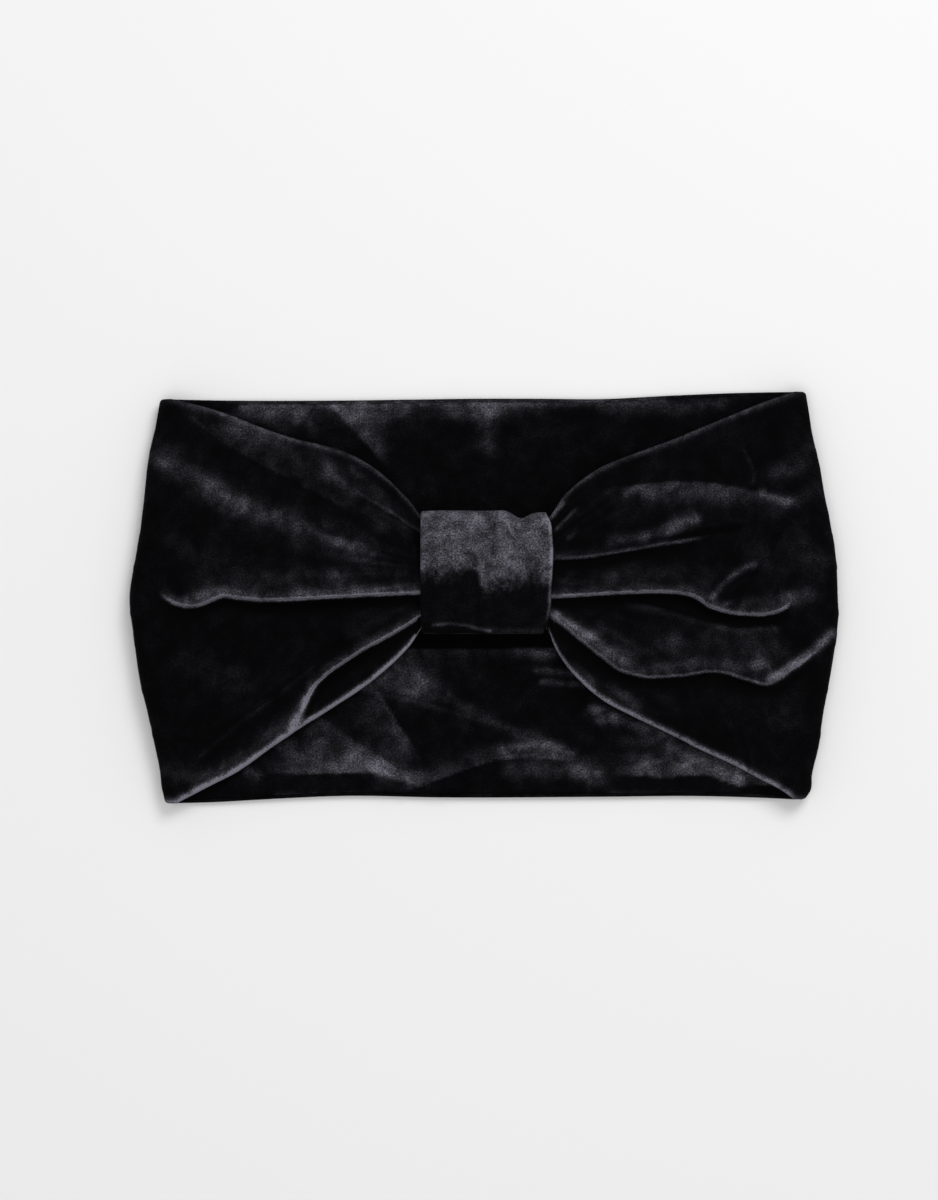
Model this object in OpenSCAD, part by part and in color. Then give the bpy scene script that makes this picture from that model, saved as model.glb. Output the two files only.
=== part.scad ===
// Wide velvet headband with a gathered front and a knot loop, lying flat.
// +X runs along the band, +Y across its width, +Z up; the origin is under the
// middle of the back half, on the surface that the band lies on.

/* [Band] */
// Length of the flattened loop, half of its relaxed girth
band_len = 240; // [230:1:260]
// Width of the band at its side folds
band_w = 138; // [130:1:150]
// How far the corners of each side fold are drawn in by the gathers
corner_in = 10; // [8:1:12]
// Inner radius of the side folds, half of the space that the flat loop keeps
fold_in = 3; // [2.5:0.1:3.5]

/* [Velvet] */
// Thickness of one layer of velvet with its pile
cloth = 1; // [0.8:0.05:1.1]
// Space between the outer and the inner layer of the band
layer_gap = 0.4; // [0.35:0.05:0.5]
// Diameter of the sewing thread
thread_d = 0.3; // [0.2:0.05:0.3]

/* [Wings] */
// Distance from the middle at which a wing's long edges bulge most
bulge_x = 62; // [50:1:80]
// Height of a wing's upper edge there, above the middle of the width
bulge_up = 53; // [46:1:56]
// Depth of a wing's lower edge there, below the middle of the width
bulge_down = 44; // [38:1:50]
// How much lower the cloth below the main pleat lies, next to the knot
pleat_drop = 1.2; // [0.5:0.1:2]

/* [Knot] */
// Length of the knot loop along the band
knot_len = 45; // [40:1:50]
// Width of the knot loop across the band
knot_w = 44; // [40:1:50]
// Height of the knot loop
knot_h = 13; // [12.5:0.5:15]
// How far the knot loop sits above the middle of the width
knot_up = 8; // [0:1:12]

/* [Seams] */
// Place of the closing seam along the back half
closing_x = -82; // [-95:1:-60]
// Width of the slit that a seam's stitches fill
seam_slit = 0.5; // [0.4:0.1:0.8]

/* [Hidden] */

velvet_black = [0.06, 0.055, 0.07];
thread_black = [0.03, 0.03, 0.035];
left = -1;
right = 1;

// Band
band_t = 2 * cloth + layer_gap;          // thickness of its two layers
fold_r = band_t + fold_in;               // outer radius of a side fold
fold_x = band_len / 2 - fold_r;          // the side folds' hinge lines
roll_r = band_t / 2;                     // radius of the rolled long edges
roll_y = band_w / 2 - roll_r;            // place of the rolled long edges
inner_w = 2 * (roll_y - roll_r - 0.5);   // width of the back's inner layer
clear = 0.3;                             // gap between pieces that move apart
outline_step = 0.1;                      // step along a side fold's bow
cut = 1;                                 // how far a cutter reaches past a face

// Knot loop
ply_gap = 0.2;                           // gap between its two layers
knot_wall = 2 * cloth + ply_gap;         // thickness of its wall
knot_r = 4.5;                            // outer radius of its corners
knot_z = band_t + clear;                 // its underside
knot_mid_z = knot_z + knot_h / 2;
mouth_w = knot_w - 2 * knot_wall;        // width and height of its mouth
mouth_h = knot_h - 2 * knot_wall;
lining_in = 1;                           // how far its inner layer stays back

// Wings
wing_z = band_t + 2 * fold_in;           // underside at the side fold
wing_end_x = knot_len / 2 + clear;       // where a wing meets the knot loop
wing_end_z = knot_z + knot_wall;         // underside at the knot loop
wing_end_layer = (mouth_h - layer_gap) / 2; // one layer's gathered thickness
pleat_y = [-1, 1.5];                     // main pleat at the side fold, at the knot
pleat_lap = 1;                           // how far the upper lobe laps the lower
wing_arc = 50;                           // degrees of side fold on a wing's end
lining_hem = 1;                          // how far the inner layer stays back
seam_in = 3;                             // distance of a seam from the edge
seam_break = 0.02;                       // share of its length that it leaves open
skin = 0.05;                             // thickness of a loft's end plates

// Gathers inside the knot loop
ring_d = thread_d;                       // thickness of the gathering thread
stack_gap = 0.05;                        // half the gap between the layers
turn_r = cloth + 0.3;                    // middle radius of a pleat's turn
stack_h = mouth_h - 4 * ring_d;
straight = stack_h - 2 * (turn_r + stack_gap + cloth);
pleats = floor((mouth_w - 4 * ring_d - 2 * cloth) / (4 * turn_r));
turn_steps = 8;

// Knot loop's tacks
tack_len = 3;
tack_gap = 4;
tack_xs = [-15, 12];

// Outline of the band seen from above, with bowed side folds
module plan() {
    right_side = [for (a = [-1:outline_step:1])
        [band_len / 2 - corner_in * a * a, a * band_w / 2]];
    left_side = [for (a = [1:-outline_step:-1])
        [corner_in * a * a - band_len / 2, a * band_w / 2]];
    polygon(concat(right_side, left_side));
}

// What lies inside the outline of the band
module trimmed() {
    intersection() {
        union() children();
        translate([0, 0, -cut]) linear_extrude(band_w) plan();
    }
}

// A straight length of thread from a to b
module thread(a, b) {
    v = b - a;
    translate(a)
        rotate([0, acos(v.z / norm(v)), atan2(v.y, v.x)])
            cylinder(h = norm(v), d = thread_d, $fn = 24);
}

// Part of a side fold between two radii; angles count up from straight outward
module fold_arc(side, r0, r1, w, from, to) {
    translate([side * fold_x, 0, fold_r])
        mirror([side > 0 ? 0 : 1, 0, 0])
            rotate([90, -from, 0])
                rotate_extrude(angle = to - from, $fn = 64)
                    translate([r0, -w / 2]) square([r1 - r0, w]);
}

// Gap between the two ends of the band, where the closing seam joins them
module closing_slit() {
    translate([closing_x - seam_slit / 2, -band_w, -cut])
        cube([seam_slit, 2 * band_w, band_t + 2 * cut]);
}

// Back half, outer layer: lies on the table and rolls over at its long edges
module back_outer() {
    color(velvet_black)
        difference() {
            trimmed() {
                translate([-fold_x, -roll_y, 0]) cube([2 * fold_x, 2 * roll_y, cloth]);
                for (s = [-1, 1])
                    translate([-fold_x, s * roll_y, roll_r])
                        rotate([0, 90, 0])
                            cylinder(h = 2 * fold_x, r = roll_r, $fn = 48);
                for (side = [left, right])
                    fold_arc(side, fold_r - cloth, fold_r, 2 * roll_y, -90, 0);
            }
            closing_slit();
        }
}

// Back half, inner layer: the side that touches the hair
module back_inner() {
    color(velvet_black)
        difference() {
            trimmed() {
                translate([-fold_x, -inner_w / 2, cloth + layer_gap])
                    cube([2 * fold_x, inner_w, cloth]);
                for (side = [left, right])
                    fold_arc(side, fold_in, fold_in + cloth, inner_w, -90, 0);
            }
            closing_slit();
        }
}

// The stitches that close the back's long edges
module back_edge_seams() {
    x = fold_x - corner_in;
    z = cloth + layer_gap / 2;
    color(thread_black)
        for (y = [-1, 1] * (inner_w / 2 + thread_d)) {
            thread([-x, y, z], [closing_x - cut, y, z]);
            thread([closing_x + cut, y, z], [x, y, z]);
        }
}

// The stitches that join the two ends of the band into a loop
module closing_seam() {
    color(thread_black)
        translate([closing_x - thread_d / 2, -inner_w / 2, cloth / 2])
            cube([thread_d, inner_w, band_t - cloth]);
}

// A cross-section of a wing: its place along X, its range in Y, its underside and its height
module section(x, ys, z, h) {
    translate([x - skin / 2, ys[0], z]) cube([skin, ys[1] - ys[0], h]);
}

// A wing's layer from its side fold to the knot, through the place where it bulges
module wing_loft(side, fold_ys, bulge_ys, end_ys, fold_z, fold_h, end_z, end_h) {
    t = (fold_x - bulge_x) / (fold_x - wing_end_x);
    hull() {
        section(side * (fold_x - skin / 2), fold_ys, fold_z, fold_h);
        section(side * bulge_x, bulge_ys,
                fold_z + t * (end_z - fold_z), fold_h + t * (end_h - fold_h));
        section(side * (wing_end_x + skin / 2), end_ys, end_z, end_h);
    }
}

// Front wing, outer layer: an upper lobe that laps over a lower one at the main pleat
module wing_outer(side) {
    z = wing_z + cloth + layer_gap;
    end_z = wing_end_z + wing_end_layer + layer_gap;
    top = knot_up + mouth_w / 2;
    bottom = knot_up - mouth_w / 2;
    color(velvet_black)
        trimmed() {
            wing_loft(side, [pleat_y[0], band_w / 2], [pleat_y[0], bulge_up],
                      [pleat_y[1], top], z, cloth, end_z, wing_end_layer);
            wing_loft(side, [-band_w / 2, pleat_y[0] + pleat_lap],
                      [-bulge_down, pleat_y[0] + pleat_lap], [bottom, pleat_y[1] + pleat_lap],
                      z, cloth, end_z, wing_end_layer - pleat_drop);
            fold_arc(side, fold_r - cloth, fold_r, band_w - 2 * seam_in, 90 - wing_arc, 90);
        }
}

// Front wing, inner layer: the side that touches the hair
module wing_inner(side) {
    hem = [lining_hem, -lining_hem];
    color(velvet_black)
        trimmed() {
            wing_loft(side, [-band_w / 2, band_w / 2] + hem, [-bulge_down, bulge_up] + hem,
                      knot_up * [1, 1] + [-mouth_w / 2, mouth_w / 2] + hem,
                      wing_z, cloth, wing_end_z, wing_end_layer);
            fold_arc(side, fold_in, fold_in + cloth, band_w - 2 * seam_in, 90 - wing_arc, 90);
        }
}

// The stitches that close a wing's long edges, between its layers
module wing_seams(side) {
    t = (fold_x - bulge_x) / (fold_x - wing_end_x);
    start_t = corner_in / (fold_x - bulge_x);
    fold_z = wing_z + cloth + layer_gap / 2;
    end_z = wing_end_z + wing_end_layer + layer_gap / 2;
    color(thread_black)
        for (s = [-1, 1]) {
            edge = s > 0 ? bulge_up : bulge_down;
            fold = [side * fold_x, s * (band_w / 2 - seam_in), fold_z];
            bulge = [side * bulge_x, s * (edge - seam_in), fold_z + t * (end_z - fold_z)];
            end = [side * wing_end_x, knot_up + s * (mouth_w / 2 - seam_in), end_z];
            thread(fold + start_t * (bulge - fold), bulge);
            thread(bulge + seam_break * (end - bulge), end);
        }
}

// One side of the accordion of pleats, at a distance off its middle line
function pleat_side(off) = [
    for (k = [0:2 * pleats])
        let (up = k % 2 == 0 ? 1 : -1,
             y = (k - pleats) * 2 * turn_r,
             r = turn_r + up * off)
        for (i = [0:turn_steps])
            let (a = 180 - 180 * i / turn_steps)
            [y + r * cos(a), up * (straight / 2 + r * sin(a))]
];

function reversed(list) = [for (i = [len(list) - 1:-1:0]) list[i]];

// One layer of the gathered middle of the band, inside the knot loop
module gathers(off0, off1) {
    half = knot_len / 2 - clear;
    color(velvet_black)
        translate([-half, knot_up, knot_mid_z])
            rotate([90, 0, 90])
                linear_extrude(2 * half)
                    polygon(concat(pleat_side(off1), reversed(pleat_side(off0))));
}

module gathered_outer() gathers(stack_gap, stack_gap + cloth);
module gathered_inner() gathers(-stack_gap - cloth, -stack_gap);

// Outline of the knot loop's cross-section, drawn in by inset
module knot_outline(inset) {
    flat = [knot_w - 2 * knot_r, knot_h - 2 * knot_r];
    r = knot_r - inset;
    square([flat.x + 2 * r, flat.y], center = true);
    square([flat.x, flat.y + 2 * r], center = true);
    for (x = [-1, 1], y = [-1, 1])
        translate([x * flat.x / 2, y * flat.y / 2]) circle(r = r, $fn = 48);
}

// Three turns of thread that hold the gathers together, just inside the knot loop
module gather_thread() {
    inset = knot_wall + ring_d / 2;
    color(thread_black)
        for (x = [-2, 0, 2])
            translate([x - ring_d / 2, knot_up, knot_mid_z])
                rotate([90, 0, 90])
                    linear_extrude(ring_d)
                        difference() {
                            knot_outline(inset);
                            knot_outline(inset + ring_d);
                        }
}

// A layer of the knot loop between two insets, closed by a seam under its middle
module knot_layer(inset0, inset1, length) {
    color(velvet_black)
        difference() {
            translate([-length / 2, knot_up, knot_mid_z])
                rotate([90, 0, 90])
                    linear_extrude(length)
                        difference() {
                            knot_outline(inset0);
                            knot_outline(inset1);
                        }
            translate([-knot_len, knot_up - seam_slit / 2, knot_z - cut])
                cube([2 * knot_len, seam_slit, knot_wall + 2 * cut]);
        }
}

module knot_wrap_outer() knot_layer(0, cloth, knot_len);
module knot_wrap_inner() knot_layer(cloth + ply_gap, knot_wall, knot_len - 2 * lining_in);

// The stitches that close the knot loop
module knot_seam() {
    length = knot_len - 4 * lining_in;
    color(thread_black)
        translate([-length / 2, knot_up - thread_d / 2, knot_z + cloth / 2])
            cube([length, thread_d, knot_wall - cloth]);
}

// Hand stitches that hold the knot loop to the gathers, so that it can't turn
module knot_tacks() {
    z = knot_z + knot_wall + thread_d;
    color(thread_black)
        for (x = tack_xs, i = [-1.5:1:1.5])
            thread([x, knot_up + i * tack_gap, z], [x + tack_len, knot_up + i * tack_gap, z]);
}

back_outer();
back_inner();
back_edge_seams();
closing_seam();
wing_outer(left);  // wing_left_outer
wing_inner(left);  // wing_left_inner
wing_seams(left);  // wing_left_seams
wing_outer(right);  // wing_right_outer
wing_inner(right);  // wing_right_inner
wing_seams(right);  // wing_right_seams
gathered_outer();
gathered_inner();
gather_thread();
knot_wrap_outer();
knot_wrap_inner();
knot_seam();
knot_tacks();
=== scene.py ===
"""A wide black velvet headband, gathered at the front under a knot loop and lying flat.

Lengths are in millimetres until a mesh is made. +X runs along the band, +Y across it, +Z up.
"""

import bpy
import numpy as np
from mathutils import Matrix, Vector


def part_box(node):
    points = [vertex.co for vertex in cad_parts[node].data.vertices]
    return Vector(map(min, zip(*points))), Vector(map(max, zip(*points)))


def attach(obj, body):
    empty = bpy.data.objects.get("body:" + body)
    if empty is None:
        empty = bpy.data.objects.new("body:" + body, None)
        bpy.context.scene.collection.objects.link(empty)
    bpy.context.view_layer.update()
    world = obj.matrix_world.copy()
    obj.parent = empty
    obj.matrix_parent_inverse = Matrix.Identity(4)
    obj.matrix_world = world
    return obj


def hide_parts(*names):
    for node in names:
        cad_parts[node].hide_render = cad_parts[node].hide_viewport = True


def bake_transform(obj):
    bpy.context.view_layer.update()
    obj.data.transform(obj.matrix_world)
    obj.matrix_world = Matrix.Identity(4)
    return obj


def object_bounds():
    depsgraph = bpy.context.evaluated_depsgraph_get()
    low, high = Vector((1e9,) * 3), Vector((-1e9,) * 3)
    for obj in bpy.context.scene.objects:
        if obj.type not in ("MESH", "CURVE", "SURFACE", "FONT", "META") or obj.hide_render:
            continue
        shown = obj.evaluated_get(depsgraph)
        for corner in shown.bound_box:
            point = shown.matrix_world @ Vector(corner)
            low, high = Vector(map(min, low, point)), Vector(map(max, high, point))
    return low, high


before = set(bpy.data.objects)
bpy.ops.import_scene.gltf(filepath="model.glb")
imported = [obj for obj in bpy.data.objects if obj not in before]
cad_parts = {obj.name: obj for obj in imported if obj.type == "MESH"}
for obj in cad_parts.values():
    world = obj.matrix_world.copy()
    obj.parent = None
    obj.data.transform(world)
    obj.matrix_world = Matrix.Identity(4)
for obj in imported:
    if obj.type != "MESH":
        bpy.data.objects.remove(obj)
cad_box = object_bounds()
MM = 0.001

# ---------------------------------------------------------------- camera
# A long lens looks straight down, with the band a little right of the picture's middle.
picture_w, picture_h = 938, 1200
band_share = 0.7535  # of the picture's width
right_share = 0.0155  # how far right of the middle the band lies, by the picture's width
camera_up = 2000.0
camera_low = 0.7  # how far below the band's middle the picture is centred

band_len = (cad_box[1][0] - cad_box[0][0]) / MM
view_w = band_len / band_share
camera_data = bpy.data.cameras.new("camera")
camera_data.sensor_width = 36.0
camera_data.lens = 36.0 * camera_up / (view_w * picture_h / picture_w)
camera_data.clip_end = 10.0
camera_data.dof.use_dof = False
camera = bpy.data.objects.new("camera", camera_data)
camera.location = (-right_share * view_w * MM, -camera_low * MM, camera_up * MM)
bpy.context.scene.collection.objects.link(camera)
bpy.context.scene.camera = camera

# ---------------------------------------------------------------- back half, head side
# The inner layer of stretch velvet on the back half, pile up, with the creases of a band
# that was folded and packed. It turns up at both side folds and ends inside the hems.
half_len = band_len / 2
fold_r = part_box("back_outer")[1].z / MM  # outer radius of a side fold
flat_end = half_len - fold_r  # where the side folds begin
band_t = 2.4  # both layers with the space between them
velvet_t = 0.8  # one layer with its pile
hem_r = band_t / 2  # radius of the rolled long edges
fold_rows = 12  # rows of points round a side fold
uv_mm = 100.0  # one unit of the cloth's UVs

# The band's plan: its long edges, and how far inside its greatest length the side folds lie.
back_top = [(-120, 67.5), (-96, 67), (-76, 66.9), (-52, 67), (-28, 67.3), (-4, 67.6), (20, 67.6),
            (44, 67.5), (68, 68.6), (92, 69.5), (120, 70)]
back_bottom = [(-120, -69.8), (-100, -69.3), (-88, -68.7), (-76, -68.1), (-52, -67.2), (-16, -67.7),
               (44, -67.5), (80, -67.3), (104, -68), (120, -68.8)]
left_bow = [(-71, 12.5), (-64, 11), (-60, 10.6), (-50, 8.6), (-40, 6.5), (-30, 4), (-13, 1.5),
            (0, 0.1), (13, 2), (22, 3.6), (30, 4.6), (50, 7), (60, 9.3), (70, 11)]
right_bow = [(-70, 13.6), (-68.3, 11.4), (-66, 9.6), (-60, 8.8), (-50, 6.4), (-40, 5.1), (-30, 3.2),
             (-20, 1.5), (-13, 0.5), (-5, -0.2), (0, 0), (13, 0.6), (25, 2.5), (35, 4.5), (45, 6.2),
             (55, 8.5), (70, 11)]


def ease(t):
    """Eased step: 0 up to t = 0, 1 from t = 1, and three t squared less two t cubed between."""
    t = np.clip(t, 0, 1)
    return t * t * (3 - 2 * t)


def bell(t):
    """Bell: e to the power of minus t squared."""
    return np.exp(-t * t)


def line(points, at):
    """Smooth line through points: cubics whose slope at a point is that of its neighbours."""
    x, y = np.array(sorted(points), float).T
    slope = np.gradient(y, x)
    i = np.clip(np.searchsorted(x, at) - 1, 0, len(x) - 2)
    h = x[i + 1] - x[i]
    t = np.clip((at - x[i]) / h, 0, 1)
    start = (2 * t**3 - 3 * t**2 + 1) * y[i] + (t**3 - 2 * t**2 + t) * h * slope[i]
    return start + (3 * t**2 - 2 * t**3) * y[i + 1] + (t**3 - t**2) * h * slope[i + 1]


def near(x, y, path, width):
    """1 on a path of straight stretches, falling off as a bell with the distance from it."""
    best = np.full(np.broadcast(x, y).shape, np.inf)
    for (x0, y0), (x1, y1) in zip(path, path[1:] or path):
        dx, dy = x1 - x0, y1 - y0
        t = np.clip(((x - x0) * dx + (y - y0) * dy) / max(dx * dx + dy * dy, 1e-9), 0, 1)
        best = np.minimum(best, np.hypot(x - x0 - t * dx, y - y0 - t * dy))
    return bell(best / width)


def beside(x, y, path, width):
    """Like near, but only on the left of the path as it runs, with a crisp edge on the path."""
    best, left = np.full(np.broadcast(x, y).shape, np.inf), 0
    for (x0, y0), (x1, y1) in zip(path, path[1:]):
        dx, dy = x1 - x0, y1 - y0
        t = np.clip(((x - x0) * dx + (y - y0) * dy) / (dx * dx + dy * dy), 0, 1)
        away = np.hypot(x - x0 - t * dx, y - y0 - t * dy)
        over = (dx * (y - y0) - dy * (x - x0)) / np.hypot(dx, dy)
        left = np.where(away < best, over, left)
        best = np.minimum(best, away)
    return bell(best / width) * ease(left / 0.9 + 0.5)


def crumple(x, y, size, seed):
    """Uneven bumps from -1 to 1: random heights on a square lattice, joined by eased steps."""
    lattice = np.random.default_rng(seed).uniform(-1, 1, (128, 128))
    u, v = x / size + 64, y / size + 64
    i, j = np.floor(u).astype(int), np.floor(v).astype(int)
    s, t = ease(u - i), ease(v - j)
    low = lattice[i % 128, j % 128] * (1 - s) + lattice[(i + 1) % 128, j % 128] * s
    high = lattice[i % 128, (j + 1) % 128] * (1 - s) + lattice[(i + 1) % 128, (j + 1) % 128] * s
    return low * (1 - t) + high * t


def side_radius(y):
    """Outer radius of the side folds: full in the middle, drawn down towards the corners."""
    return fold_r * (1 - 0.28 * np.abs(y / 70) ** 3)


def side_end(side, y):
    """Distance from the middle at which a side fold begins, at y."""
    bow = line(left_bow if side < 0 else right_bow, y)
    return half_len - bow - side_radius(y)


def side_fold(side, y, inside, angle):
    """Points on a side fold: a circle about its own line, turned from straight down by angle."""
    r = side_radius(y)
    x = side_end(side, y) + (r - inside) * np.sin(angle)
    return np.stack([side * x, y + 0 * x, r - (r - inside) * np.cos(angle)], axis=-1)


def cloth_mesh(name, grid, pile_tone_and_painted_light, out):
    """A layer of cloth from a grid of points, with its own lengths as UVs and its tone, painted
    sheen and painted shade as an attribute. out is -1 where the grid runs so that the pile faces
    the other way."""
    rows, across = grid.shape[:2]
    index = np.arange(rows * across).reshape(rows, across)
    quad = [index[:-1, :-1], index[1:, :-1], index[1:, 1:], index[:-1, 1:]]
    faces = np.stack(quad[::out], axis=-1).reshape(-1, 4)
    mesh = bpy.data.meshes.new(name)
    mesh.from_pydata((grid * MM).reshape(-1, 3), [], faces.tolist())
    mesh.polygons.foreach_set("use_smooth", np.ones(len(faces), bool))
    along = np.linalg.norm(np.diff(grid, axis=0), axis=2).mean(axis=1)
    width = np.linalg.norm(np.diff(grid, axis=1), axis=2)
    u = np.concatenate([[0], np.cumsum(along)])[:, None] * np.ones(across)
    v = np.pad(np.cumsum(width, axis=1), ((0, 0), (1, 0)))
    uv = np.stack([u, v - v[:, -1:] / 2], axis=-1).reshape(-1, 2) / uv_mm
    mesh.uv_layers.new(name="cloth").data.foreach_set("uv", uv[faces.ravel()].ravel())
    lie = mesh.attributes.new("pile_tone_and_painted_light", "FLOAT", "POINT")
    lie.data.foreach_set("value", np.clip(pile_tone_and_painted_light, 0, 2).ravel())
    piece = bpy.data.objects.new(name, mesh)
    bpy.context.scene.collection.objects.link(piece)
    wall = piece.modifiers.new("cloth thickness", "SOLIDIFY")
    wall.thickness = velvet_t * MM
    wall.offset = -1
    return piece


def linear(hexcode):
    """An sRGB hex colour as linear red, green, blue and alpha."""
    c = np.array([int(hexcode[i:i + 2], 16) / 255 for i in (1, 3, 5)])
    return (*np.where(c < 0.04045, c / 12.92, ((c + 0.055) / 1.055) ** 2.4), 1)


def node(tree, kind, links=(), **settings):
    """Adds a node to a tree, sets its values and its inputs, and joins (input, output) pairs."""
    made = tree.nodes.new(kind)
    for key, value in settings.items():
        if key == "inputs":
            for name, v in value.items():
                made.inputs[name].default_value = v
        else:
            setattr(made, key, value)
    for name, output in links:
        tree.links.new(output, made.inputs[name])
    return made


def crushed_velvet(name, dark, lit, sheen_tint):
    """Cut-pile stretch velvet, crushed by packing: near black, with a grey lilac painted into its
    colour as painted sheen and painted highlights, and a faint real sheen on every edge that turns
    away."""
    tuft_mm = 0.6  # real tufts are too fine to draw, so these are coarser
    patch_mm = 5.0  # patches where the pile was pressed together
    material = bpy.data.materials.new(name)
    material.use_nodes = True
    tree = material.node_tree
    tree.nodes.clear()
    cloth = node(tree, "ShaderNodeUVMap", uv_map="cloth").outputs["UV"]
    lie = node(tree, "ShaderNodeAttribute", attribute_name="pile_tone_and_painted_light").outputs["Fac"]
    tuft = node(tree, "ShaderNodeTexNoise", [("Vector", cloth)],
                inputs={"Scale": uv_mm / tuft_mm, "Detail": 4.0, "Roughness": 0.75})
    patch = node(tree, "ShaderNodeTexNoise", [("Vector", cloth)],
                 inputs={"Scale": uv_mm / patch_mm, "Detail": 4.0, "Roughness": 0.6,
                         "Distortion": 0.4})
    tuft_span = node(tree, "ShaderNodeMapRange", [("Value", tuft.outputs["Fac"])],
                     inputs={"From Min": 0.3, "From Max": 0.7, "To Min": 0.25, "To Max": 1.65})
    patch_span = node(tree, "ShaderNodeMapRange", [("Value", patch.outputs["Fac"])],
                      inputs={"From Min": 0.35, "From Max": 0.65, "To Min": 0.65, "To Max": 1.25})
    both = node(tree, "ShaderNodeMath", [(0, tuft_span.outputs[0]), (1, patch_span.outputs[0])],
                operation="MULTIPLY")
    # how far the colour goes from near black to the painted sheen colour: the attribute's tone,
    # painted sheen and painted shade, times the grain
    painted_sheen = node(tree, "ShaderNodeMath", [(0, both.outputs[0]), (1, lie)], operation="MULTIPLY",
                 use_clamp=True)
    grey = node(tree, "ShaderNodeMath", [(0, painted_sheen.outputs[0])], operation="POWER", inputs={1: 2.2})
    colour = node(tree, "ShaderNodeMix", [("Factor", grey.outputs[0])], data_type="RGBA")
    # near black, and the grey lilac of the painted sheen
    colour.inputs[6].default_value = linear(dark)
    colour.inputs[7].default_value = linear(lit)
    bump = node(tree, "ShaderNodeBump", [("Height", tuft.outputs["Fac"])],
                inputs={"Strength": 0.45, "Distance": 0.25 * MM})
    shader = node(tree, "ShaderNodeBsdfPrincipled",
                  [("Base Color", colour.outputs[2]), ("Normal", bump.outputs["Normal"])],
                  inputs={"Roughness": 0.9, "Specular IOR Level": 0.02, "Sheen Weight": 0.24,
                          "Sheen Roughness": 0.22, "Sheen Tint": linear(sheen_tint)})
    node(tree, "ShaderNodeOutputMaterial", [("Surface", shader.outputs["BSDF"])])
    return material


def back_layer(inside, edge_in, step, wrinkle):
    """Points of a layer of the back half, from one side fold's outermost line to the other's:
    a flat stretch at its depth inside the outer face, plus its wrinkles, and a quarter turn at
    each end. It stops at edge_in inside the long edges, and its points lie about step apart."""
    turn = np.radians(np.linspace(90, 0, fold_rows + 1))[:-1]
    flat = np.linspace(-1, 1, round(2 * flat_end / step))
    share = np.concatenate([np.full(fold_rows, -1.0), flat, np.full(fold_rows, 1.0)])[:, None]
    angle = np.concatenate([turn, 0 * flat, turn[::-1]])[:, None]
    x = share * flat_end
    top = line(back_top, x) - edge_in
    bottom = line(back_bottom, x) + edge_in
    y = bottom + (top - bottom) * np.linspace(0, 1, round(138 / step))
    left, right = side_fold(-1, y, inside, angle), side_fold(1, y, inside, angle)
    reach = np.where(share < 0, side_end(-1, y), side_end(1, y))
    middle = np.stack([share * reach, y, inside + wrinkle(share * reach, y)], axis=-1)
    folds = np.where((share < 0)[..., None], left, right)
    return np.where((angle > 0)[..., None], folds, middle)


back_creases = [  # path, width, depth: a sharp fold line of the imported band
    ([(-50, -29), (-30, -36), (-10, -41), (8, -46), (30, -51), (50, -54)], 1.3, 0.9),
    ([(-24, -66), (-8, -58), (4, -55), (16, -54), (26, -53)], 1.3, 0.9),
    ([(-52, 63), (-44, 56), (-39, 49)], 2.2, 1.0),
    ([(-41, -31), (-30, -33), (-18, -35)], 1.2, 0.6),
    ([(-34.5, -33), (-31, -40), (-27, -48)], 1.2, 0.5),
    ([(-64, -60.5), (-50, -60.8), (-39, -60), (-25, -64)], 1.2, 0.8),
    ([(55, -61.6), (75, -61), (88, -65)], 1.2, 0.8),
    ([(34, -36), (46, -45), (62, -48)], 1.8, 0.8), ([(20, -24), (34, -28)], 1.4, 0.6),
]
back_ridges = [  # path, width, height: a soft ridge beside the folds
    ([(-55, -56), (-38, -60), (-26, -64)], 3.5, 0.9),
    ([(-58, -47), (-46, -53), (-34, -57)], 3.0, 0.7),
    ([(-18, -30), (0, -38), (28, -46)], 4.0, 0.8),
    ([(-12, -62), (4, -59), (22, -58), (40, -62)], 3.0, 0.9),
    ([(42, -39), (60, -44)], 2.0, 0.8), ([(56, -52), (70, -54), (88, -60)], 3.0, 1.0),
    ([(-46, 62), (-36, 50)], 3.0, 0.8), ([(14, -18), (28, -24)], 2.4, 0.6),
]
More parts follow.
